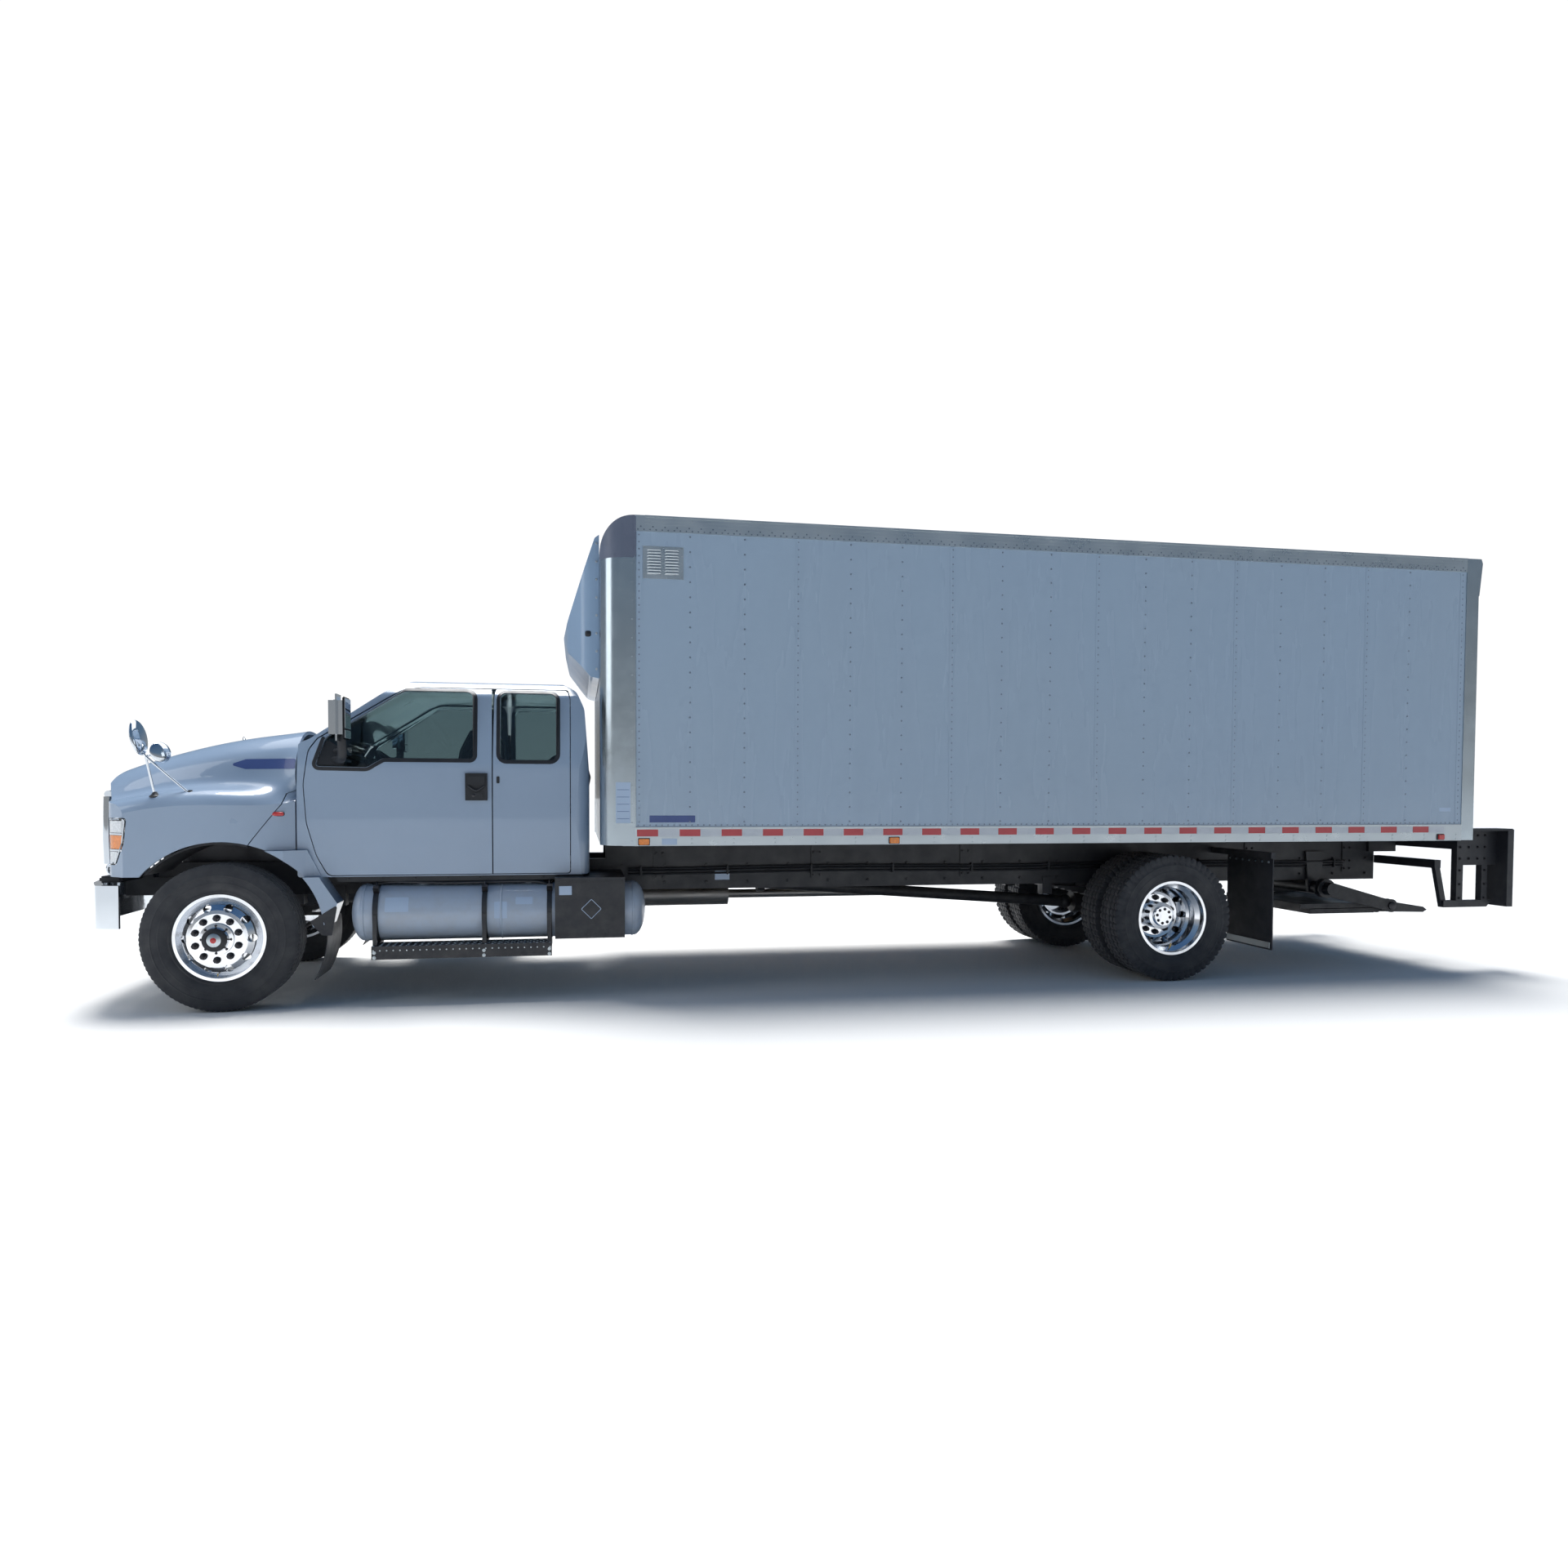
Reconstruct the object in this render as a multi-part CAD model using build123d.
from build123d import *
import math
import os

# A class 7 box truck: long bonnet, extended cab with rear-hinged back doors, a 24 foot
# dry freight body and a tuck-under lift gate. Millimetres. +X is forward, +Y is the
# driver's (left) side, +Z is up, and the origin is on the ground under the middle.

# ---- driving dimensions ---------------------------------------------------------------
WHEELBASE = 7120.0
FRONT_OVERHANG = 970.0        # front axle to the face of the bumper
GATE_REACH = 460.0            # the lift gate's brackets, behind the freight body

TYRE_R = 510.0                # the axles' height too
TYRE_W = 279.0
FLANGE_R = 298.5
RIM_W = 230.0
FRONT_WHEEL_Y = 1050.0
DUAL_WHEEL_Y = 1094.0         # middle of an outer rear tyre
DUAL_SPACING = 330.0
DISC_OFFSET = 165.0           # rim's middle to the mounting face
STUD_CIRCLE_R = 142.9
STUDS = 10

RAIL_Y = 430.0                # outer face of a frame rail
RAIL_BOTTOM = 730.0
RAIL_TOP = 980.0
RAIL_FLANGE = 76.0
RAIL_WEB = 10.0

CAB_HALF = 1010.0             # half width over the doors
CAB_BOTTOM = 905.0
CAB_FLOOR = 1040.0
CAB_ROOF = 2335.0
CAB_WALL = 60.0
CAB_BACK = -2490.0            # from the front axle
DOOR_T = 70.0
DOOR_GAP = 6.0
DOOR_SPLIT = -1795.0
DOOR_BOTTOM = 917.0
DOOR_TOP = 2268.0
FRONT_HINGE = (-525.0, CAB_HALF)
REAR_HINGE = (-2340.0, CAB_HALF)

BODY_FRONT = -2563.0
BODY_LENGTH = 7277.0
BODY_HALF = 1295.0
BODY_BOTTOM = 1130.0
BODY_TOP = 3500.0
BODY_WALL = 36.0
BODY_FLOOR = 1265.0           # top of the cargo floor
FRONT_RADIUS = 260.0          # roof cap's bend
POST_RADIUS = 170.0

HOOD_T = 22.0
HOOD_PIVOT = (780.0, 1010.0)
KINGPIN_Y = FRONT_WHEEL_Y - 150.0
STEER_ARM = 180.0             # kingpin back to the tie rod's ball
ARM_Z = TYRE_R - 80.0
COLUMN_TILT = 32.0            # steering column above level
STEERING_WHEEL = (-1010.0, 450.0, 1640.0)

TANK_R = 205.0
TANK_FRONT = -810.0
TANK_BACK = -2905.0
TANK_Y = 900.0
TANK_Z = 640.0

FREE = 0.5                    # running clearance of a pin or shaft
CLEAR = 6.0                   # least gap round a moving panel

# ---- places that follow from them -----------------------------------------------------
BODY_BACK = BODY_FRONT - BODY_LENGTH
SIDE_FRONT = BODY_FRONT - 247.0
SIDE_BACK = BODY_BACK + 118.0
LIFT_PIVOT = (BODY_BACK + 840.0, 665.0)
LIFT_HUB = (BODY_BACK + 170.0, 500.0)

LENGTH = FRONT_OVERHANG - BODY_BACK + GATE_REACH
FRONT_AXLE = LENGTH / 2 - FRONT_OVERHANG
REAR_AXLE = FRONT_AXLE - WHEELBASE


def at(x):
    """A place given from the front axle, in the model's own X."""
    return FRONT_AXLE + x


def aft(x):
    """A place given from the freight body's back face, backwards."""
    return at(BODY_BACK - x)


def block(x0, x1, y0, y1, z0, z1):
    return Pos((x0 + x1) / 2, (y0 + y1) / 2, (z0 + z1) / 2) * Box(x1 - x0, y1 - y0, z1 - z0)


def tube_y(x, z, r, y0, y1, bore=0.0):
    body = Cylinder(r, y1 - y0) if bore == 0 else Cylinder(r, y1 - y0) - Cylinder(bore, y1 - y0)
    return Pos(x, (y0 + y1) / 2, z) * Rot(90, 0, 0) * body


def tube_x(y, z, r, x0, x1):
    return Pos((x0 + x1) / 2, y, z) * Rot(0, 90, 0) * Cylinder(r, x1 - x0)


def tube_z(x, y, r, z0, z1):
    return Pos(x, y, (z0 + z1) / 2) * Cylinder(r, z1 - z0)


def rod(a, b, r):
    """A round bar from a to b."""
    a, b = Vector(a), Vector(b)
    return Plane(origin=a, z_dir=b - a) * Cylinder(r, (b - a).length, align=(Align.CENTER, Align.CENTER,
                                                                             Align.MIN))


def outline(points, radius):
    return make_face(FilletPolyline(*points, radius=radius, close=True))


def side_prism(points, y0, y1, radius=0):
    """An (x, z) outline, carried across from y0 to y1."""
    plane = Plane(origin=(0, y1, 0), x_dir=(1, 0, 0), z_dir=(0, -1, 0))
    return extrude(plane * outline(points, radius), amount=y1 - y0)


def plan_prism(points, z0, z1, radius=0):
    """An (x, y) outline, carried up from z0 to z1."""
    return extrude(Plane.XY.offset(z0) * outline(points, radius), amount=z1 - z0)


def front_prism(points, x0, x1, radius=0):
    """A (y, z) outline, carried forward from x0 to x1."""
    plane = Plane(origin=(x0, 0, 0), x_dir=(0, 1, 0), z_dir=(1, 0, 0))
    return extrude(plane * outline(points, radius), amount=x1 - x0)


def mirrored(shape):
    return mirror(shape, about=Plane.XZ)


def both_sides(shape):
    return [shape, mirrored(shape)]


def from_axle(points):
    return [(at(x), z) for x, z in points]


# ---- wheels ---------------------------------------------------------------------------
def ring(profile, x, y, z):
    """Turns a list of (radius, y) points about the wheel's own axle."""
    return Pos(x, y, z) * revolve(make_face(Polyline(*profile, close=True)), Axis.Y)


def tyre(x, y):
    half = TYRE_W / 2
    tread = TYRE_R - 26
    outer = [
        (FLANGE_R - 11.5, -RIM_W / 2 + 13), (FLANGE_R + 1, -RIM_W / 2 + 10), (FLANGE_R + 1.5, -RIM_W / 2 + 1),
        (FLANGE_R + 50, -half + 4),
        (FLANGE_R + 100, -half), (TYRE_R - 50, -half + 8), (TYRE_R - 14, -half + 18), (TYRE_R, -half + 42),
    ]
    inner = [
        (FLANGE_R - 11.5, RIM_W / 2 - 40), (FLANGE_R + 40, half - 26), (FLANGE_R + 100, half - 16), (tread,
                                                                                                     half - 42),
    ]
    far_outer = [(r, -w) for r, w in reversed(outer)]
    far_inner = [(r, -w) for r, w in reversed(inner)]
    return ring(outer + far_outer + inner + far_inner, x, y, TYRE_R)


def rim(side):
    """Rim and disc about the origin; side is +1 for a disc outboard of the rim's middle."""
    half = RIM_W / 2
    seat = FLANGE_R - 12.5
    barrel = [
        (FLANGE_R, -half), (FLANGE_R, -half + 9), (seat, -half + 12), (seat, -half + 45),
        (seat - 28, -half + 70), (seat - 28, half - 70), (seat, half - 45), (seat, half - 12),
        (FLANGE_R, half - 9), (FLANGE_R, half), (seat - 8, half), (seat - 12, half - 48),
        (seat - 42, half - 76), (seat - 42, -half + 76), (seat - 12, -half + 48), (seat - 8, -half),
    ]
    face = DISC_OFFSET
    disc = [
        (seat - 6, half - 50), (252, half - 16), (232, half + 12), (196, face - 4), (172, face),
        (110, face), (110, face - 22), (170, face - 22), (190, face - 28), (222, half - 8),
        (238, half - 40), (seat - 14, half - 74),
    ]
    wheel = ring(barrel, 0, 0, 0) + ring(disc, 0, 0, 0)
    holes = [
        Pos(215 * math.cos(a), face - 20, 215 * math.sin(a)) * Rot(90, 0, 0) * Cylinder(27, 140)
        for a in (math.radians(36 * i) for i in range(10))
    ]
    wheel = wheel - holes
    return wheel if side > 0 else mirror(wheel, about=Plane.XZ)


def hub(reach, bore):
    """Hub, studs' nuts and drum behind a mounting face at y = 0; reach is how far it stands out."""
    parts = ring([(bore, -110), (109, -110), (109, reach - 34), (84, reach - 30), (78, reach),
                  (0, reach), (0, reach - 14), (bore, reach - 14)], 0, 0, 0)
    drum = ring([(80, -22), (208, -22), (208, -178), (190, -178), (190, -44), (80, -44)], 0, 0, 0)
    nuts = [
        Pos(STUD_CIRCLE_R * math.cos(a), 12, STUD_CIRCLE_R * math.sin(a)) * Rot(90, 0, 0) * Cylinder(16, 72)
        for a in (math.radians(36 * i + 18) for i in range(STUDS))
    ]
    return parts + drum + nuts


SPINDLE_R = 42.0


def front_wheel(x, y):
    wheel = rim(1) + Pos(0, DISC_OFFSET - 22, 0) * hub(72, SPINDLE_R + FREE)
    return Pos(x, y, TYRE_R) * wheel


def dual_wheel(x, y):
    """Two rims back to back on one hub, for the left side."""
    face_y = y - DISC_OFFSET
    outer = Pos(x, y, TYRE_R) * rim(-1)
    inner = Pos(x, y - DUAL_SPACING, TYRE_R) * rim(1)
    centre = Pos(x, face_y, TYRE_R) * hub(150, SPINDLE_R + 6 + FREE)
    return outer + inner + centre


# ---- chassis --------------------------------------------------------------------------
RAIL_FRONT = 640.0
BUMPER_BRACKET = 860.0        # where the frame's horns meet the bumper's brackets
RAIL_BACK = BODY_BACK + 200.0
CARRIER = -3950.0             # the driveshaft's middle bearing, under a crossmember
CROSSMEMBERS = (520.0, -1500.0, -2700.0, CARRIER, -5100.0, -6300.0,
                RAIL_BACK + 1740.0, RAIL_BACK + 940.0, RAIL_BACK + 40.0)
CROSS_BOTTOM = 840.0          # above the driveshaft
SPRING_Y = RAIL_Y - 38.0
SPRING_W = 76.0
HANGER_REACH = (620.0, 720.0)  # spring hangers from the front and the rear axle
HANGER_HALF = 45.0
LEAF_T = 12.0
FRONT_LEAVES = 4
REAR_LEAVES = 8
FRONT_SEAT = TYRE_R + 39.0     # underside of the lowest leaf, at its axle
REAR_SEAT = TYRE_R + 86.0
HINGE_BAR_R = 15.0            # the bonnet tilts on a bar across the frame's front
HINGE_LUG_Y = (612.0, 640.0)


def chassis_frame():
    """Both rails with their spring hangers, and the bonnet's hinge bar across their front ends."""
    channel = [
        (RAIL_Y, RAIL_BOTTOM), (RAIL_Y, RAIL_TOP), (RAIL_Y - RAIL_FLANGE, RAIL_TOP),
        (RAIL_Y - RAIL_FLANGE, RAIL_TOP - RAIL_WEB), (RAIL_Y - RAIL_WEB, RAIL_TOP - RAIL_WEB),
        (RAIL_Y - RAIL_WEB, RAIL_BOTTOM + RAIL_WEB), (RAIL_Y - RAIL_FLANGE, RAIL_BOTTOM + RAIL_WEB),
        (RAIL_Y - RAIL_FLANGE, RAIL_BOTTOM),
    ]
    rail = front_prism(channel, at(RAIL_BACK), at(RAIL_FRONT))
    for axle, reach in ((FRONT_AXLE, HANGER_REACH[0]), (REAR_AXLE, HANGER_REACH[1])):
        for end in (-reach, reach):
            rail += block(axle + end - HANGER_HALF, axle + end + HANGER_HALF, SPRING_Y - 46, RAIL_Y + 10,
                          RAIL_BOTTOM - 90, RAIL_BOTTOM + 60)
    horn_top = RAIL_BOTTOM + 140
    rail += block(at(RAIL_FRONT) - 120, at(BUMPER_BRACKET), RAIL_Y - RAIL_WEB, RAIL_Y + 12,
                  RAIL_BOTTOM + 10, horn_top)
    # a bracket up from the horn to the hinge bar, leaning back clear of the grille's path
    px, pz = HOOD_PIVOT
    bracket = side_prism(from_axle([
        (px - 110, horn_top - 5), (px - 20, horn_top - 5), (px, pz - 30), (px + 20, pz - 10), (px + 20,
                                                                                               pz + 20),
        (px - 20, pz + 24), (px - 60, pz - 20),
    ]), RAIL_Y - RAIL_WEB, RAIL_Y + 12)
    rail += bracket
    bar = tube_y(at(px), pz, HINGE_BAR_R, -HINGE_LUG_Y[1] - 5, HINGE_LUG_Y[1] + 5)
    return rail + mirrored(rail) + bar


def frame_crossmembers():
    """Pressed members between the rails, each its own piece."""
    half = RAIL_Y - RAIL_WEB - 1
    members = []
    for x in CROSSMEMBERS:
        web = block(at(x) - 5, at(x) + 5, -half, half, CROSS_BOTTOM, RAIL_TOP - 20)
        members.append(web + block(at(x) - 40, at(x) + 5, -half, half, RAIL_TOP - 30, RAIL_TOP - 20))
    return members


def leaf(axle, half, low, rise):
    """One spring leaf, bowed up by rise at its ends."""
    under = ThreePointArc((axle - half, low + rise), (axle, low), (axle + half, low + rise))
    over = ThreePointArc((axle - half, low + rise + LEAF_T), (axle, low + LEAF_T), (axle + half,
                                                                                    low + rise + LEAF_T))
    face = make_face([under, Line(under @ 1, over @ 1), over, Line(over @ 0, under @ 0)])
    plane = Plane(origin=(0, SPRING_Y + SPRING_W / 2, 0), x_dir=(1, 0, 0), z_dir=(0, -1, 0))
    return extrude(plane * face, amount=SPRING_W)


def leaf_springs():
    """A bowed pack on each side of each axle, clamped at its middle."""
    out = []
    for axle, reach, seat, leaves, bow in (
        (FRONT_AXLE, HANGER_REACH[0] - HANGER_HALF, FRONT_SEAT, FRONT_LEAVES, 90.0),
        (REAR_AXLE, HANGER_REACH[1] - HANGER_HALF, REAR_SEAT, REAR_LEAVES, 24.0),
    ):
        top = seat + LEAF_T * leaves
        pack = block(axle - 70, axle + 70, SPRING_Y - 46, SPRING_Y + 46, seat, top + 14)
        for i in range(leaves):
            half = reach * (1 - 0.09 * i)
            pack += leaf(axle, half, top - LEAF_T * (i + 1), bow * (half / reach) ** 2)
        out += both_sides(pack)
    return out


BEAM_EYE = 48.0
KINGPIN_R = 22.0
BALL_PIN_R = 12.0


def front_axle():
    drop, end = TYRE_R - 30, KINGPIN_Y - 40
    beam = front_prism([
        (-end, TYRE_R + 30), (-760, TYRE_R + 20), (-640, drop + 10), (-520, drop), (520, drop),
        (640, drop + 10), (760, TYRE_R + 20), (end, TYRE_R + 30), (end, TYRE_R - 50),
        (760, TYRE_R - 70), (600, drop - 85), (-600, drop - 85), (-760, TYRE_R - 70), (-end, TYRE_R - 50),
    ], FRONT_AXLE - 42, FRONT_AXLE + 42)
    eye = tube_z(FRONT_AXLE, KINGPIN_Y, BEAM_EYE, TYRE_R - 50, TYRE_R + 50)
    hole = tube_z(FRONT_AXLE, KINGPIN_Y, KINGPIN_R + FREE, TYRE_R - 60, TYRE_R + 60)
    seat = spring_seat(FRONT_AXLE, FRONT_SEAT)
    beam = beam + eye + mirrored(eye) + seat + mirrored(seat)
    return beam - hole - mirrored(hole)


def spring_seat(axle, top):
    return block(axle - 70, axle + 70, SPRING_Y - 46, SPRING_Y + 46, TYRE_R - 40, top)


def knuckle():
    """Left knuckle: a yoke round the beam's eye, kingpin, spindle and steering arm."""
    x, y = FRONT_AXLE, KINGPIN_Y
    yoke = tube_z(x, y, 44, TYRE_R + 56, TYRE_R + 96) + tube_z(x, y, 44, TYRE_R - 96, TYRE_R - 56)
    back = block(x - 40, x + 40, y + BEAM_EYE + 8, y + BEAM_EYE + 32, TYRE_R - 96, TYRE_R + 96)
    lugs = block(x - 40, x + 40, y, y + BEAM_EYE + 32, TYRE_R + 60, TYRE_R + 92)
    lugs += block(x - 40, x + 40, y, y + BEAM_EYE + 32, TYRE_R - 92, TYRE_R - 60)
    pin = tube_z(x, y, KINGPIN_R, TYRE_R - 80, TYRE_R + 80)
    reach = FRONT_WHEEL_Y + DISC_OFFSET - 22 + 40
    spindle = tube_y(x, TYRE_R, SPINDLE_R, y + BEAM_EYE + 20, reach)
    end = x - STEER_ARM
    arm = plan_prism([(x + 20, y - 30), (x + 20, y + 30), (end - 10, y + 26), (end - 10, y - 26)],
                     ARM_Z - 12, ARM_Z + 12)
    ball = tube_z(end, y, 26, ARM_Z - 12, ARM_Z + 12) + tube_z(end, y, BALL_PIN_R, ARM_Z - 45, ARM_Z)
    return yoke + back + lugs + pin + spindle + arm + ball


def tie_rod():
    """Joins both steering arms' ball pins, low behind the axle."""
    x = FRONT_AXLE - STEER_ARM
    z = ARM_Z - 38
    bar = tube_y(x, z, 17, -KINGPIN_Y, KINGPIN_Y)
    for end in (-KINGPIN_Y, KINGPIN_Y):
        bar += tube_z(x, end, 26, z - 20, z + 20)
    for end in (-KINGPIN_Y, KINGPIN_Y):
        bar -= tube_z(x, end, BALL_PIN_R + FREE, z - 30, z + 40)
    return bar


def rear_axle():
    x = REAR_AXLE
    face_y = DUAL_WHEEL_Y - DISC_OFFSET
    housing = tube_y(x, TYRE_R, 68, -face_y + 190, face_y - 190)
    spindle = tube_y(x, TYRE_R, SPINDLE_R + 6, -face_y - 110, face_y + 110)
    bowl = Pos(x, 0, TYRE_R) * Sphere(185)
    nose = tube_x(0, TYRE_R + 15, 95, x + 120, x + NOSE_REACH - SHAFT_BALL - 2)
    seat = spring_seat(x, REAR_SEAT)
    return housing + spindle + bowl + nose + seat + mirrored(seat)


NOSE_REACH = 340.0            # rear axle forward to the driveshaft's last joint
SHAFT_BALL = 62.0
SHAFT_JOINTS = ((-1290.0, 770.0), (CARRIER, 735.0), (NOSE_REACH - WHEELBASE, TYRE_R + 15))


def driveshaft():
    """Two tubes with a carrier bearing under a crossmember."""
    a, b, c = [(at(x), 0, z) for x, z in SHAFT_JOINTS]
    shaft = rod(a, b, 45) + rod(b, c, 50)
    x, z = SHAFT_JOINTS[1]
    shaft += tube_x(0, z, 78, at(x) - 32, at(x) + 32) + block(at(x) - 30, at(x) + 30, -60, 60, z,
                                                              CROSS_BOTTOM)
    for x, z in (SHAFT_JOINTS[0], SHAFT_JOINTS[2]):
        shaft += Pos(at(x), 0, z) * Sphere(SHAFT_BALL)
    return shaft


def powertrain():
    """Engine as one block, with the gearbox behind it."""
    half = RAIL_Y - RAIL_FLANGE - 54
    engine = block(at(-330), at(470), -half, half, 640, 1330)
    bell = Pos(at(-430), 0, 770) * Rot(0, 90, 0) * Cone(140, 215, 240)
    box = tube_x(0, 770, 150, at(-1150), at(-500))
    tail = tube_x(0, 770, 70, at(-1225), at(-1150))
    radiator = block(at(560), at(610), -420, 420, 1000, 1450)
    link = block(at(450), at(570), -60, 60, 1000, 1080)
    return engine + bell + box + tail + radiator + link


EXHAUST_Y = -262.0
MUFFLER_Z = 615.0


def exhaust_system():
    """Pipe from behind the engine, muffler and tail pipe inside the right rail."""
    bend = (at(-1300), EXHAUST_Y, MUFFLER_Z)
    pipe = rod((at(-345), EXHAUST_Y, 660), bend, 38) + Pos(*bend) * Sphere(38)
    pipe += rod(bend, (at(-5200), EXHAUST_Y, MUFFLER_Z), 38)
    return pipe + tube_x(EXHAUST_Y, MUFFLER_Z, 95, at(-3700), at(-2900))


def front_bumper():
    face = at(FRONT_OVERHANG)
    outer = [(face, -560), (face, 560), (at(900), 860), (at(775), 1140), (at(620), 1172),
             (at(620), 1140), (at(740), 1100), (at(860), 830), (face - 46, 545),
             (face - 46, -545), (at(860), -830), (at(740), -1100), (at(620), -1140), (at(620), -1172),
             (at(775), -1140), (at(900), -860)]
    radii = [300, 300, 500, 60, 8, 8, 40, 460, 260, 260, 460, 40, 8, 8, 60, 500]
    shell = extrude(Plane.XY.offset(585) * make_face(FilletPolyline(*outer, radius=radii, close=True)),
                    amount=291)
    rails = block(at(BUMPER_BRACKET), face - 30, RAIL_Y - 30, RAIL_Y + 40, RAIL_BOTTOM + 20,
                  RAIL_BOTTOM + 130)
    return shell + rails + mirrored(rails)


# ---- propane tank, steps and boxes ----------------------------------------------------
def fuel_tank():
    x0, x1 = at(TANK_BACK), at(TANK_FRONT)
    dome = 90.0
    barrel = tube_x(TANK_Y, TANK_Z, TANK_R, x0 + dome, x1 - dome)
    for x in (x0 + dome, x1 - dome):
        end = Pos(x, TANK_Y, TANK_Z) * scale(Sphere(TANK_R), by=(dome / TANK_R, 1, 1))
        barrel += end
    return barrel


STEP_TOP = TANK_Z - TANK_R - 11
STEP_Z = (STEP_TOP - 94, STEP_TOP)
STEP_X = (-2218.0, -977.0)
STRAPS = (-996.0, -1742.0, -2200.0)


def side_steps():
    """Left: running board hung from the tank's cradle. Right: battery and tool box with its step."""
    x0, x1 = at(STEP_X[0]), at(STEP_X[1])
    board = block(x0, x1, 930, 1150, STEP_Z[0] + 60, STEP_Z[1])
    board += block(x0, x1, 1138, 1150, STEP_Z[0], STEP_Z[1])
    left = board
    for x in (at(x) for x in STRAPS):
        strap = tube_x(TANK_Y, TANK_Z, TANK_R + 8, x - 18, x + 18)
        strap -= tube_x(TANK_Y, TANK_Z, TANK_R + 1, x - 20, x + 20)
        post = block(x - 14, x + 14, 1112, 1124, STEP_Z[1] - 10, TANK_Z)
        foot = block(x - 14, x + 14, TANK_Y - 60, 1124, STEP_Z[1] - 8, STEP_Z[1] + 8)
        hanger = block(x - 30, x + 30, RAIL_Y + 1, TANK_Y - TANK_R + 30, 700, 800)
        hanger -= tube_x(TANK_Y, TANK_Z, TANK_R + 4, x - 40, x + 40)
        left += strap + post + foot + hanger
    right = block(at(-1900), at(-900), -1120, -RAIL_Y - 180, 470, 860)
    right += block(at(-1900), at(-900), -1150, -940, STEP_Z[0] + 60, STEP_Z[1])
    for x in (at(-1850), at(-1400), at(-950)):
        right += block(x - 15, x + 15, -1100, -960, STEP_Z[1] - 10, 480)
        right += block(x - 30, x + 30, -RAIL_Y - 190, -RAIL_Y - 1, 760, 850)
    return [left, right]


VALVE_BOX_X = (-2743.0, -2240.0)


def tank_valve_box():
    x0, x1 = (at(x) for x in VALVE_BOX_X)
    case = block(x0, x1, TANK_Y - 60, 1132, 446, 890)
    case -= tube_x(TANK_Y, TANK_Z, TANK_R + 3, x0 - 10, x1 + 10)
    case -= block(x0 - 10, x1 + 10, TANK_Y - 70, 1118, 446 - 10, 878)
    top = block(x0, x1, TANK_Y - 60, 1132, 878, 890)
    bottom = block(x0, x1, TANK_Y + 120, 1132, 446, 456)
    bottom -= tube_x(TANK_Y, TANK_Z, TANK_R + 3, x0 - 10, x1 + 10)
    bracket = block(x0, x1, RAIL_Y + 1, TANK_Y - 50, 878, 890)
    ends = block(x0, x0 + 10, TANK_Y + 60, 1132, 446, 890) + block(x1 - 10, x1, TANK_Y + 60, 1132, 446, 890)
    ends -= tube_x(TANK_Y, TANK_Z, TANK_R + 3, x0 - 10, x1 + 10)
    return case + top + bottom + bracket + ends


FLAP_REACH = 881.0            # rear axle back to the mud flaps


def mud_flaps():
    x = REAR_AXLE - FLAP_REACH
    flap = block(x - 5, x + 5, 640, 1240, 230, 985)
    iron = block(x - 17, x + 23, RAIL_Y + 1, 1240, 985, 1035)
    return both_sides(flap + iron)


# ---- cab ------------------------------------------------------------------------------
def cab_solid(inset, foot=20):
    """The cab's outer form, drawn in by inset all round, with its lower edges rounded by foot."""
    t = inset
    roof = CAB_ROOF - t
    side = from_axle([
        (CAB_BACK + t, CAB_BOTTOM + t), (CAB_BACK + t, 1640), (-2455 + t, 2130), (-2395 + t, roof - 70),
        (-2280 + t, roof - 6), (-1700, roof), (-1230, roof - 14), (-1120 - t * 0.4, roof - 50),
        (-545 - t * 1.1, 1885), (-470 - t, 1850), (-462 - t, 1500), (-462 - t, CAB_BOTTOM + t),
    ])
    radii = [foot, 200, 160, 90, 60, 600, 160, 90, 30, 25, 10, foot]
    body = side_prism(side, -CAB_HALF, CAB_HALF, radii)
    half = CAB_HALF - t
    section = [
        (-half + 12, CAB_BOTTOM - 20), (-half, 1300), (-half + 6, 1700), (-half + 88, 2215), (-half + 190,
                                                                                              roof - 16),
        (-300, roof + 4), (300, roof + 4), (half - 190, roof - 16), (half - 88, 2215), (half - 6, 1700),
        (half, 1300), (half - 12, CAB_BOTTOM - 20),
    ]
    section_radii = [2, 900, 300, 60, 120, 500, 500, 120, 60, 300, 900, 2]
    across = front_prism(section, at(CAB_BACK) - 50, at(-400), section_radii)
    plan = [
        (at(CAB_BACK) + t, -half), (at(-430) - t, -half), (at(-430) - t, half), (at(CAB_BACK) + t, half),
    ]
    corners = plan_prism(plan, CAB_BOTTOM - 10, CAB_ROOF + 40, [110, 40, 40, 110])
    return body & across & corners


FRONT_DOOR = [
    (DOOR_SPLIT + 4, DOOR_BOTTOM), (-668, DOOR_BOTTOM), (-590, 1060), (-528, 1290), (-508, 1560),
    (-540, 1800), (-600, 1885), (-1170, DOOR_TOP - 20), (-1290, DOOR_TOP), (DOOR_SPLIT + 4, DOOR_TOP),
]
FRONT_DOOR_RADII = [0, 60, 300, 300, 300, 120, 40, 90, 120, 0]
REAR_DOOR = [
    (-2348, DOOR_BOTTOM), (DOOR_SPLIT - 4, DOOR_BOTTOM), (DOOR_SPLIT - 4, DOOR_TOP), (-2330, DOOR_TOP),
    (-2348, 2200),
]
FRONT_GLASS = [
    (-1660, 1752), (-1660, 2236), (-1180, 2236), (-650, 1890), (-585, 1690), (-930, 1684), (-1040, 1752),
]
FRONT_GLASS_RADII = [25, 45, 70, 60, 20, 60, 60]
REAR_GLASS = [(-2250, 1746), (-2250, 2234), (-1850, 2234), (-1850, 1746)]
WINDSCREEN = [(-1150, 2300), (-1105, 2330), (-400, 1990), (-400, 1890), (-590, 1890)]
SCREEN_HALF = CAB_HALF - 250.0
BACK_GLASS_HALF = CAB_HALF - 450.0
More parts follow.
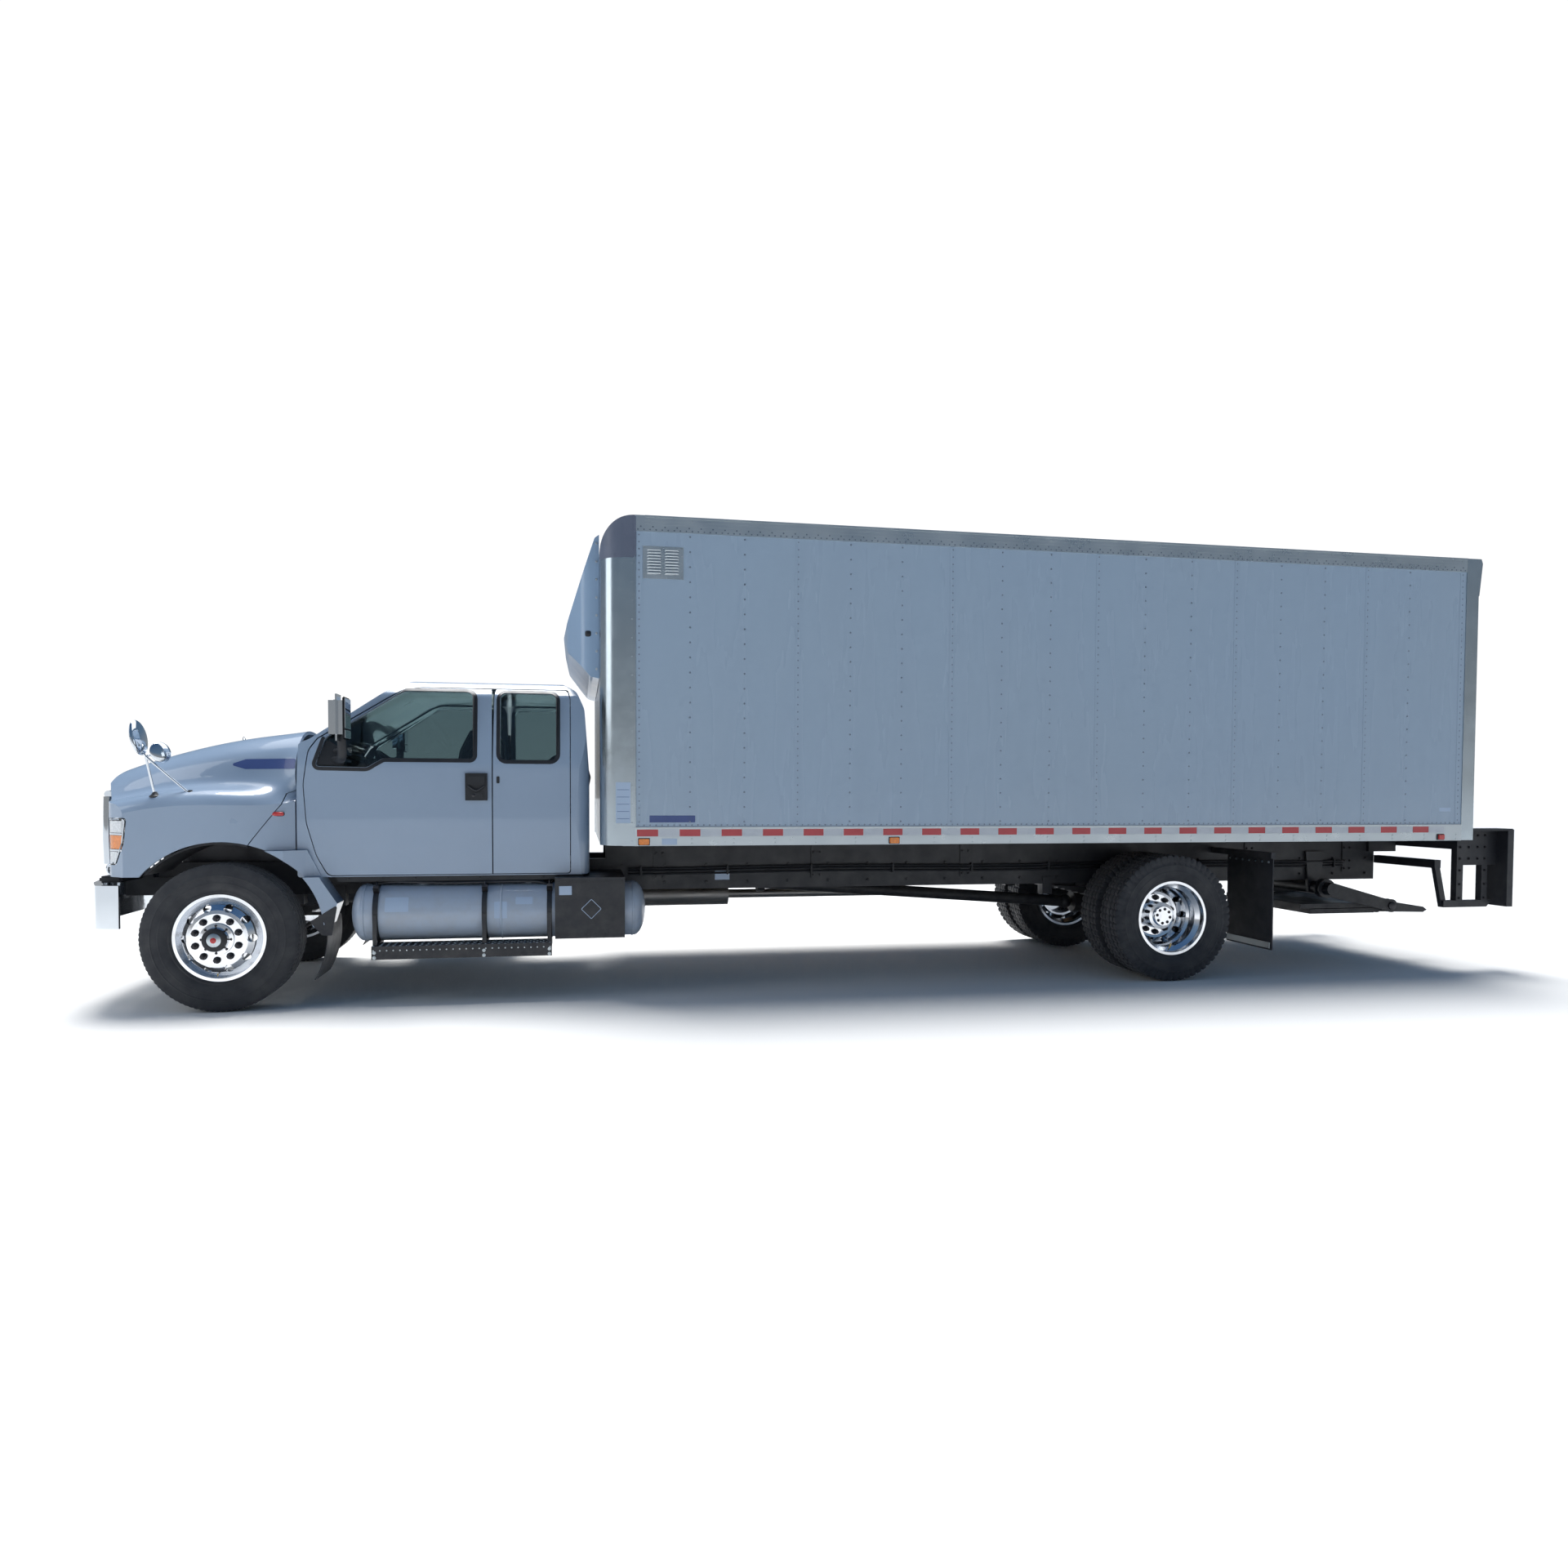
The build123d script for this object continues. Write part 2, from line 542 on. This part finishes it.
BACK_GLASS_Z = (1790.0, 2190.0)


def door_opening():
    """Left opening: both doors' outlines and the gap round them, with no pillar between."""
    gap = CLEAR
    whole = [
        (-2348 - gap, DOOR_BOTTOM - gap), (-668 + gap, DOOR_BOTTOM - gap), (-590 + gap, 1060),
        (-528 + gap, 1290), (-508 + gap, 1560), (-540 + gap, 1800 + gap), (-600 + gap, 1885 + gap),
        (-1170 + gap, DOOR_TOP - 20 + gap), (-1290, DOOR_TOP + gap), (-2330 - gap, DOOR_TOP + gap),
        (-2348 - gap, 2200),
    ]
    return side_prism(from_axle(whole), 700, 1100, [20, 60, 300, 300, 300, 120, 40, 90, 120, 20, 40])


def cab_shell(outer, inner):
    """Floor, firewall, roof, back and pillars in one, open at the doors and windows."""
    pocket = door_opening()
    shell = outer - inner - pocket - mirrored(pocket)
    shell -= side_prism(from_axle(WINDSCREEN), -SCREEN_HALF, SCREEN_HALF)
    shell -= block(at(CAB_BACK) - 50, at(CAB_BACK) + 200, -BACK_GLASS_HALF, BACK_GLASS_HALF, *BACK_GLASS_Z)
    # the rails and the gearbox pass under the floor
    shell -= block(at(CAB_BACK) - 50, at(-300), -RAIL_Y - 60, RAIL_Y + 60, CAB_BOTTOM - 20, RAIL_TOP + 12)
    return shell


def door_slab(outer, inner):
    """The cab's side wall at a door's thickness, without the front wall's stub."""
    reach = CAB_HALF - DOOR_T
    return outer - inner - block(at(-700), at(-400), -reach, reach, CAB_BOTTOM - 10, 1900)


def front_door(slab):
    door = slab & side_prism(from_axle(FRONT_DOOR), 700, 1100, FRONT_DOOR_RADII)
    hx, hy = FRONT_HINGE
    reach = FRONT_HINGE[0] - (DOOR_SPLIT + 4)
    door &= tube_z(at(hx), hy, reach, DOOR_BOTTOM - 10, DOOR_TOP + 60)
    door -= side_prism(from_axle(FRONT_GLASS), 700, 1100, FRONT_GLASS_RADII)
    handle = block(at(-1755), at(-1613), CAB_HALF - 6, CAB_HALF + 14, 1457, 1640)
    return door + handle


def rear_door(slab):
    door = slab & side_prism(from_axle(REAR_DOOR), 700, 1100, [20, 0, 0, 30, 60])
    hx, hy = REAR_HINGE
    reach = DOOR_SPLIT - 4 - hx
    door &= tube_z(at(hx), hy, reach, DOOR_BOTTOM - 10, DOOR_TOP + 60)
    return door - side_prism(from_axle(REAR_GLASS), 700, 1100, 45)


def door_mirror():
    """Left door mirror: head on a bracket at the window's front corner."""
    head = plan_prism([(at(-739), 1130), (at(-739), 1300), (at(-760), 1345), (at(-845), 1345), (at(-856),
                                                                                                1130)],
                      1860, 2170, [20, 30, 30, 10, 10])
    stalk = block(at(-850), at(-770), 1150, 1210, 1690, 1870)
    arm = block(at(-850), at(-770), CAB_HALF - 4, 1210, 1690, 1760)
    return head + stalk + arm


def cab_glass(mid_outer, mid_inner):
    """Windscreen and back window: slices of the cab's own form."""
    skin = mid_outer - mid_inner
    screen = skin & side_prism(from_axle(WINDSCREEN), -SCREEN_HALF, SCREEN_HALF)
    back = skin & block(at(CAB_BACK) - 50, at(CAB_BACK) + 100, -BACK_GLASS_HALF, BACK_GLASS_HALF,
                        *BACK_GLASS_Z)
    return [screen, back]


def dashboard():
    half = CAB_HALF - DOOR_T - 40
    body = side_prism(from_axle([
        (-535, 1330), (-535, 1745), (-700, 1790), (-850, 1730), (-880, 1560), (-780, 1330),
    ]), -half, half, 25)
    wx, wy, wz = STEERING_WHEEL
    tilt = math.radians(COLUMN_TILT)
    dx, dz = math.cos(tilt), math.sin(tilt)
    end = (at(wx) + 42 * dx, wy, wz - 42 * dz)
    start = (at(wx) + 330 * dx, wy, wz - 330 * dz)
    return body + rod(start, end, 34)


def steering_wheel():
    wx, wy, wz = STEERING_WHEEL
    tilt = math.radians(COLUMN_TILT)
    plane = Plane(origin=(at(wx), wy, wz), x_dir=(0, 1, 0), z_dir=(-math.cos(tilt), 0, math.sin(tilt)))
    wheel = Torus(200, 15) + Pos(0, 0, -12) * Cylinder(62, 40)
    for angle in (0, 120, 240):
        wheel += Rot(0, 0, angle + 90) * Pos(120, 0, -4) * Box(170, 34, 14)
    return plane * wheel


def seats():
    """Two front seats and a rear bench, each a plain closed solid for its cushions and frame."""
    out = []
    for y in (-450, 450):
        base = block(at(-1530), at(-1080), y - 250, y + 250, 1120, 1420)
        back = side_prism(from_axle([(-1500, 1380), (-1640, 2010), (-1760, 2010), (-1640, 1380)]),
                          y - 240, y + 240, 30)
        rest = side_prism(from_axle([(-1655, 2000), (-1670, 2170), (-1750, 2170), (-1745, 2000)]),
                          y - 130, y + 130, 25)
        foot = block(at(-1500), at(-1120), y - 200, y + 200, CAB_FLOOR, 1130)
        out.append(base + back + rest + foot)
    bench = block(at(-2230), at(-1860), -720, 720, CAB_FLOOR, 1380)
    bench += side_prism(from_axle([(-2190, 1370), (-2290, 1760), (-2390, 1760), (-2330, 1370)]), -720, 720,
                        25)
    out.append(bench)
    return out


# ---- bonnet and front -----------------------------------------------------------------
ARCH_R = TYRE_R + 145.0
# station: x, hood edge y, z, foot y, z, fender edge y, z
STATIONS = (
    (-452.0, 880.0, 1893.0, 975.0, 1560.0, 1006.0, 1530.0),
    (-250.0, 862.0, 1868.0, 955.0, 1560.0, 1110.0, 1508.0),
    (0.0, 832.0, 1834.0, 925.0, 1560.0, 1156.0, 1508.0),
    (300.0, 785.0, 1772.0, 880.0, 1545.0, 1160.0, 1500.0),
    (600.0, 730.0, 1690.0, 820.0, 1500.0, 1150.0, 1452.0),
    (960.0, 650.0, 1540.0, 760.0, 1430.0, 1130.0, 1380.0),
)


def hood_loft(inset):
    """Bonnet and fenders: one smooth crown over each station, straight sides below it."""
    t = inset
    sections = []
    for x, yh, zh, yf, zf, ys, zs in STATIONS:
        half = [(yh - 70 - t, zh - 3 - t), (yh + 20 - t, zh - 80 - t), (yf - t, zf + 15 - t),
                (ys - 60 - t, zs - 5 - t), (ys - t, zs - 90 - t)]
        left = [(-y, z) for y, z in reversed(half)]
        crown = Spline(left + [(0, zh + 22 - t)] + half)
        low = 880 - t
        sides = Polyline(half[-1], (ys - t, low), (-ys + t, low), left[0])
        plane = Plane(origin=(at(x), 0, 0), x_dir=(0, 1, 0), z_dir=(1, 0, 0))
        sections.append(plane * make_face([crown, sides]))
    return loft(sections)


def hood_solid(inset):
    t = inset
    nose = plan_prism([
        (at(-450), -1200), (at(150), -1200), (at(560), -1180), (at(715) - t, -1060 + t), (at(800) - t, -800),
        (at(885) - t, -600), (at(885) - t, 600), (at(800) - t, 800), (at(715) - t, 1060 - t), (at(560), 1180),
        (at(150), 1200), (at(-450), 1200),
    ], 840, 2000, [0, 10, 100, 120, 400, 160, 160, 400, 120, 100, 10, 0])
    front = side_prism(from_axle([
        (-450, 2000), (500, 2000), (855 - t, 1612 - t), (885 - t, 1540 - t), (885 - t, 996 - 3 * t), (740,
                                                                                                      930 - 3 * t),
        (-450, 930 - 3 * t),
    ]), -1250, 1250, [0, 10, 60, 40, 5, 10, 0])
    return hood_loft(t) & nose & front


LAMP = [(930, 1325), (572, 1332), (590, 1157), (655, 1011), (930, 1005)]
LAMP_Y = (700.0, 1250.0)
GRILLE_HALF = 600.0
GRILLE_Z = (985.0, 1470.0)


def cut_line_front():
    """Everything ahead of the seam between the tilting fender and the fixed panel behind it."""
    return [(-181 + 5, 1148), (-377 + 5, 1423), (-395 + 5, 1498), (-456, 1525), (-456, 2100),
            (1200, 2100), (1200, 700), (-181 + 5, 700)]


def hood(outer, inner):
    shell = outer - inner
    shell &= side_prism(from_axle(cut_line_front()), -1300, 1300, 0)
    arch = tube_y(FRONT_AXLE, TYRE_R, ARCH_R, 640, 1300)
    shell -= arch + mirrored(arch)
    lamp = side_prism(from_axle(LAMP), LAMP_Y[0], LAMP_Y[1], [0, 20, 20, 30, 0])
    shell -= lamp + mirrored(lamp)
    shell -= block(at(700), at(1000), -GRILLE_HALF, GRILLE_HALF, GRILLE_Z[0], GRILLE_Z[1])
    shell -= block(at(-600), at(480), -620, 620, 800, 1300)
    # hinge lugs, from the nose's corners back to the bar
    px, pz = HOOD_PIVOT
    lug = tube_y(at(px), pz, HINGE_BAR_R + 12, *HINGE_LUG_Y)
    lug += block(at(px), at(862), *HINGE_LUG_Y, pz - 20, pz + 50)
    lug -= tube_y(at(px), pz, HINGE_BAR_R + FREE, HINGE_LUG_Y[0] - 5, HINGE_LUG_Y[1] + 5)
    return shell + lug + mirrored(lug)


def headlamps(skin):
    lamp = skin & side_prism(from_axle(LAMP), LAMP_Y[0], LAMP_Y[1], [0, 20, 20, 30, 0])
    return both_sides(lamp)


def grille():
    face = at(885)
    frame = block(face - 40, face + 8, -GRILLE_HALF, GRILLE_HALF, GRILLE_Z[0], GRILLE_Z[1])
    frame -= block(face - 60, face + 60, -GRILLE_HALF + 45, GRILLE_HALF - 45, GRILLE_Z[0] + 45,
                   GRILLE_Z[1] - 45)
    for i in range(1, 5):
        z = GRILLE_Z[0] + 30 + i * 85
        frame += block(face - 30, face + 4, -GRILLE_HALF + 20, GRILLE_HALF - 20, z - 20, z + 20)
    for y in (-300, 0, 300):
        frame += block(face - 36, face - 10, y - 12, y + 12, GRILLE_Z[0] + 20, GRILLE_Z[1] - 20)
    return frame


def wheel_liners():
    """Dark inner arches that ride with the bonnet."""
    band = tube_y(FRONT_AXLE, TYRE_R, ARCH_R - 5, 640, 1120) - tube_y(FRONT_AXLE, TYRE_R, ARCH_R - 17, 630,
                                                                      1130)
    keep = side_prism(from_axle([(-181 + 12, 1100), (-181 + 12, 1300), (900, 1300), (900, 940), (300, 940)]),
                      600, 1200)
    return both_sides(band & keep)


def hood_mirrors():
    """Left and right: a convex head on a tripod, and a second round head beside it."""
    foot_a = (at(417), 1085, 1478)
    foot_b = (at(200), 1075, 1490)
    joint = (at(455), 1130, 1745)
    left = rod(foot_a, joint, 8) + rod(foot_b, joint, 8)
    for foot in (foot_a, foot_b):
        left += Pos(*foot) * Cylinder(20, 24)
    head = Plane(origin=(at(490), 1150, 1870), z_dir=(-0.95, 0.25, 0.18)) * scale(Sphere(100), by=(0.85,
                                                                                                   1.2, 0.22))
    second = Plane(origin=(at(378), 1090, 1775), z_dir=(-0.75, 0.62, 0.2)) * scale(Sphere(72), by=(1, 1, 0.3))
    left += head + second + rod(joint, (at(485), 1148, 1800), 7) + rod(joint, (at(385), 1092, 1770), 7)
    return both_sides(left)


def splash_panels(cab):
    """Fixed rear pieces of the front fenders, from the seam down to the tail."""
    seam = [(-181 - 2, 1148), (-377 - 2, 1423), (-395 - 2, 1496), (-452, 1518), (-452, 1300), (-500, 1180),
            (-560, 1040), (-628, 900), (-740, 723), (-690, 575), (-640, 575), (-640, 500), (0, 500)]
    region = side_prism(from_axle(seam), 780, 1180, 0)
    edge = [(at(-100), 1156), (at(-250), 1150), (at(-400), 1128)]
    inside = [(at(-760), 870), (at(-100), 870)]
    upper = plan_prism(edge + [(at(-470), 1080), (at(-525), 1040), (at(-575), 1012), (at(-640),
                                                                                      1008)] + inside,
                       DOOR_BOTTOM - CLEAR, 1560, 0)
    tail = plan_prism(edge + [(at(-525), 1105), (at(-640), 1085), (at(-750), 1075)] + inside,
                      500, DOOR_BOTTOM - CLEAR, 0)
    crown = hood_loft(0) & block(at(-452), at(-100), 700, 1300, 880, 1600)
    skirt = block(at(-760), at(-100), 700, 1300, 560, 1100)
    panel = (upper & region & (crown + skirt)) + (tail & region & skirt)
    arch = tube_y(FRONT_AXLE, TYRE_R, ARCH_R, 640, 1300)
    return both_sides(panel - arch - cab)


# ---- freight body ---------------------------------------------------------------------
CROSS_STEP = 400.0
DECK_T = 35.0


def load_floor():
    """The deck, with the body's round front corners."""
    edge = BODY_HALF - BODY_WALL
    deck = block(at(SIDE_BACK), at(SIDE_FRONT), -edge, edge, BODY_FLOOR - DECK_T, BODY_FLOOR)
    return deck + body_corner(BODY_WALL + 4, BODY_FLOOR - DECK_T, BODY_FLOOR)


def floor_crossmembers():
    """Crossmembers under the deck, on two long sills that rest on the frame."""
    edge = BODY_HALF - BODY_WALL
    pieces = []
    for i in range(int((SIDE_FRONT - SIDE_BACK) // CROSS_STEP) + 1):
        x = at(SIDE_FRONT - i * CROSS_STEP)
        pieces.append(block(x - 22, x + 22, -edge, edge, BODY_BOTTOM, BODY_FLOOR - DECK_T - 1))
    sill = block(at(RAIL_BACK), at(BODY_FRONT - 60), RAIL_Y - RAIL_FLANGE, RAIL_Y, RAIL_TOP, BODY_BOTTOM - 1)
    return pieces + both_sides(sill)


def side_wall():
    return block(at(SIDE_BACK), at(SIDE_FRONT), BODY_HALF - BODY_WALL, BODY_HALF, BODY_BOTTOM, BODY_TOP - 30)


def load_roof():
    x0, x1 = at(SIDE_BACK), at(BODY_FRONT - FRONT_RADIUS)
    edge = BODY_HALF - BODY_WALL
    skin = front_prism([(-edge, BODY_TOP - 40), (-edge, BODY_TOP - 14), (0, BODY_TOP), (edge, BODY_TOP - 14),
                        (edge, BODY_TOP - 40), (0, BODY_TOP - 26)], x0, x1, 0)
    return skin


def side_rails():
    """Bright bottom and top rails, left and right."""
    low = block(at(SIDE_BACK), at(SIDE_FRONT), BODY_HALF, BODY_HALF + 8, BODY_BOTTOM - 3, 1262)
    high = block(at(SIDE_BACK), at(SIDE_FRONT), BODY_HALF, BODY_HALF + 6, 3375, BODY_TOP - 12)
    cap = block(at(SIDE_BACK), at(SIDE_FRONT), BODY_HALF - 30, BODY_HALF + 6, BODY_TOP - 30, BODY_TOP - 12)
    return both_sides(low) + both_sides(high + cap)


def body_corner(inset, z0, z1):
    """The body's plan at its front end, with round corners."""
    t = inset
    x1 = at(BODY_FRONT) - t
    x0 = at(SIDE_FRONT)
    half = BODY_HALF + 4 - t
    r = POST_RADIUS - t
    return plan_prism([(x0, -half), (x1, -half), (x1, half), (x0, half)], z0, z1, [0, r, r, 0])


CAP_BOTTOM = 3183.0


def front_wall():
    edge = BODY_HALF - POST_RADIUS
    return block(at(BODY_FRONT) - 40, at(BODY_FRONT) - 3, -edge, edge, BODY_BOTTOM, CAP_BOTTOM)


def corner_posts():
    both = body_corner(0, BODY_BOTTOM, CAP_BOTTOM) - body_corner(BODY_WALL, BODY_BOTTOM, CAP_BOTTOM)
    left = both & block(at(SIDE_FRONT), at(BODY_FRONT) + 10, BODY_HALF - POST_RADIUS, BODY_HALF + 20,
                        BODY_BOTTOM, CAP_BOTTOM)
    return both_sides(left)


def front_cap():
    def form(t):
        x1 = BODY_FRONT - t
        side = side_prism(from_axle([
            (SIDE_FRONT, CAP_BOTTOM), (x1, CAP_BOTTOM), (x1, BODY_TOP - 12 - t), (SIDE_FRONT,
                                                                                  BODY_TOP - 12 - t),
        ]), -1400, 1400, [0, 0, FRONT_RADIUS - t - 14, 0])
        return side & body_corner(t, CAP_BOTTOM, BODY_TOP)
    return form(0) - form(BODY_WALL)


def wind_fairing():
    """Hollow moulded nose on the front wall, over the cab."""
    def form(t):
        side = side_prism(from_axle([
            (BODY_FRONT, 2350 + t), (-2500 - t, 2365 + t), (-2335 - t, 2560 + t), (-2300 - t, 2700),
            (-2530 - t, 3380 - t), (BODY_FRONT, 3405 - t),
        ]), -1010 + t, 1010 - t, [0, 60, 60, 60, 30, 0])
        plan = plan_prism([
            (at(BODY_FRONT), -1010 + t), (at(-2450), -1000 + t), (at(-2330) - t, -800 + t), (at(-2298) - t,
                                                                                             -500),
            (at(-2298) - t, 500), (at(-2330) - t, 800 - t), (at(-2450), 1000 - t), (at(BODY_FRONT), 1010 - t),
        ], 2300, 3450, [0, 120, 160, 400, 400, 160, 120, 0])
        return side & plan
    return form(0) - form(20)


def rear_frame():
    """Portal round the door, with a header that flares out at the top."""
    x0, x1 = at(BODY_BACK), at(SIDE_BACK)
    half = BODY_HALF + 6
    portal = block(x0, x1, -half, half, BODY_BOTTOM, BODY_TOP - 12)
    portal -= block(x0 - 10, x1 + 10, -half + 100, half - 100, BODY_FLOOR, 3330)
    visor = side_prism(from_axle([(BODY_BACK + 5, 3180), (BODY_BACK - 6, 3180), (BODY_BACK - 34, 3450),
                                  (BODY_BACK - 20, BODY_TOP - 12), (BODY_BACK + 5,
                                                                    BODY_TOP - 12)]), -half, half, 0)
    visor -= block(at(BODY_BACK) - 60, at(BODY_BACK), -half + 100, half - 100, 3100, 3330)
    return portal + visor


def rollup_door():
    """Closed curtain of hinged slats, with its handle."""
    x = at(SIDE_BACK - 60)
    half = BODY_HALF - 95
    curtain = block(x - 22, x, -half, half, BODY_FLOOR + 2, 3320)
    count = 6
    pitch = (3320 - BODY_FLOOR - 2) / count
    for i in range(1, count):
        z = BODY_FLOOR + 2 + i * pitch
        curtain -= block(x - 30, x - 16, -half - 5, half + 5, z - 4, z + 4)
    return curtain + block(x - 40, x - 20, -90, 90, BODY_FLOOR + 60, BODY_FLOOR + 110)


# ---- lift gate ------------------------------------------------------------------------
GATE_Y = (1085.0, 1255.0)


def aft_prism(points, y0, y1):
    return side_prism([(aft(x), z) for x, z in points], y0, y1)


def liftgate_frame():
    """Side brackets with steps, a cross tube and hangers to the frame rails."""
    y0, y1 = GATE_Y
    side = block(aft(65), aft(1), y0, y0 + 60, 560, 1222) + block(aft(310), aft(253), y0, y0 + 60, 560, 1222)
    side += block(aft(450), aft(1), y0, y0 + 60, 905, 1222)
    side += aft_prism([(-122, 542), (310, 542), (365, 600), (-122, 600)], y0, y0 + 60)
    side += aft_prism([(-122, 545), (-70, 545), (-150, 900), (-200, 900)], y0, y0 + 40)
    side += block(aft(-140), aft(-200), RAIL_Y + 1, y0 + 40, 880, 950)
    side += block(aft(GATE_REACH), aft(GATE_REACH - 60), y0 - 60, y1, 552, 1215)
    side += block(aft(450), aft(5), y0, y1, 1205, 1222)
    px, pz = LIFT_PIVOT
    sill = block(aft(60), aft(5), -y0 - 30, y0 + 30, 1040, 1120)
    tube = tube_y(at(px), pz, 55, -700, 700)
    side += side_prism(from_axle([(px - 90, 990), (px + 90, 990), (px + 60, pz - 40), (px - 60, pz - 40)]),
                       RAIL_Y + 1, RAIL_Y + 31)
    side += block(aft(5), at(RAIL_BACK) + 80, RAIL_Y + 1, RAIL_Y + 31, 985, 1115)
    return side + mirrored(side) + sill + tube


def liftgate_arms():
    """Two parallel plates a side, from the cross tube back to the platform's pins."""
    px, pz = LIFT_PIVOT
    hx, hz = LIFT_HUB
    x0, x1 = at(px), at(hx)
    middle = (at(px - 330), (pz + hz) / 2 + 10)
    arm = tube_y(*middle, 24, 570, 620)
    for y in (560.0, 610.0):
        bar = tube_y(x0, pz, 85, y, y + 16) + tube_y(x1, hz, 60, y, y + 16)
        bar += side_prism([(x0 + 8, pz + 70), (x0 - 8, pz - 70), (x1 - 4, hz - 50), (x1 + 8, hz + 50)], y,
                          y + 16)
        arm += bar - tube_y(x0, pz, 55 + FREE, y - 5, y + 25)
    arm -= tube_y(x1, hz, 20 + FREE, 540, 640)
    return arm + mirrored(arm) + tube_y(*middle, 24, -570, 570)


def liftgate_platform():
    """The platform folded on itself under the body, hung from the arms' ends."""
    hx, hz = LIFT_HUB
    part = block(aft(-280), aft(-1040), -540, 540, 478, 520)
    part += block(aft(-280), aft(-940), -540, 540, 430, 472)
    part += tube_y(aft(-250), 475, 45, -540, 540)
    ear = aft_prism([(-280, 520), (-280, 440), (240, 425), (280, 447), (240, 475), (-140, 535)], 510, 540)
    ear += tube_y(at(hx), hz, 20, 520, 632)
    return part + ear + mirrored(ear)


# ---- build ----------------------------------------------------------------------------
def build():
    outer = cab_solid(0)
    inner = cab_solid(CAB_WALL, 0)
    slab = door_slab(outer, cab_solid(DOOR_T))
    pane = cab_solid(24) - cab_solid(31)
    pane_side = side_prism(from_axle(FRONT_GLASS), 700, 1100, FRONT_GLASS_RADII)
    rear_side = side_prism(from_axle(REAR_GLASS), 700, 1100, 45)
    hood_out = hood_solid(0)
    hood_in = hood_solid(HOOD_T)
    pan_half = CAB_HALF - DOOR_T - 20
    floor_pan = block(at(CAB_BACK) + CAB_WALL / 2, at(-540), -pan_half, pan_half, RAIL_TOP + 14, CAB_FLOOR)
    shell = cab_shell(outer, inner) + floor_pan

    nodes = {
        "chassis_frame": chassis_frame(),
        "frame_crossmembers": frame_crossmembers(),
        "front_bumper": front_bumper(),
        "front_axle": front_axle(),
        "leaf_springs": leaf_springs(),
        "rear_axle": rear_axle(),
        "driveshaft": driveshaft(),
        "powertrain": powertrain(),
        "exhaust_system": exhaust_system(),
        "fuel_tank": fuel_tank(),
        "tank_valve_box": tank_valve_box(),
        "side_steps": side_steps(),
        "mud_flaps": mud_flaps(),
        "cab_shell": shell,
        "cab_glass": cab_glass(cab_solid(20), cab_solid(27)),
        "dashboard": dashboard(),
        "seats": seats(),
        "splash_panels": splash_panels(outer),
        "load_floor": load_floor(),
        "floor_crossmembers": floor_crossmembers(),
        "left_side_wall": side_wall(),
        "right_side_wall": mirrored(side_wall()),
        "load_roof": load_roof(),
        "front_wall": front_wall(),
        "corner_posts": corner_posts(),
        "front_cap": front_cap(),
        "wind_fairing": wind_fairing(),
        "side_rails": side_rails(),
        "rear_frame": rear_frame(),
        "rollup_door": rollup_door(),
        "liftgate_frame": liftgate_frame(),
        "liftgate_arms": liftgate_arms(),
        "liftgate_platform": liftgate_platform(),
        "hood": hood(hood_out, hood_in),
        "grille": grille(),
        "headlamps": headlamps(hood_solid(2) - hood_solid(HOOD_T + 20)),
        "hood_mirrors": hood_mirrors(),
        "wheel_liners": wheel_liners(),
        "left_knuckle": knuckle(),
        "right_knuckle": mirrored(knuckle()),
        "tie_rod": tie_rod(),
        "steering_wheel": steering_wheel(),
        "left_front_door": front_door(slab),
        "left_rear_door": rear_door(slab),
        "left_front_door_glass": pane & pane_side,
        "left_rear_door_glass": pane & rear_side,
        "left_door_mirror": door_mirror(),
        "front_left_wheel": front_wheel(FRONT_AXLE, FRONT_WHEEL_Y),
        "front_left_tyre": tyre(FRONT_AXLE, FRONT_WHEEL_Y),
        "rear_left_wheels": dual_wheel(REAR_AXLE, DUAL_WHEEL_Y),
        "rear_left_tyres": [tyre(REAR_AXLE, DUAL_WHEEL_Y), tyre(REAR_AXLE, DUAL_WHEEL_Y - DUAL_SPACING)],
    }
    for name in ("front_door", "rear_door", "front_door_glass", "rear_door_glass", "door_mirror"):
        nodes["right_" + name] = mirrored(nodes["left_" + name])
    nodes["front_right_wheel"] = mirrored(nodes["front_left_wheel"])
    nodes["front_right_tyre"] = mirrored(nodes["front_left_tyre"])
    nodes["rear_right_wheels"] = mirrored(nodes["rear_left_wheels"])
    nodes["rear_right_tyres"] = [mirrored(t) for t in nodes["rear_left_tyres"]]
    return nodes


def main():
    os.makedirs("parts", exist_ok=True)
    for name, shape in build().items():
        solids = []
        for piece in shape if isinstance(shape, list) else [shape]:
            solids += piece.solids()
        export_step(Compound(children=solids), f"parts/{name}.step")
        print(name, len(solids))


main()
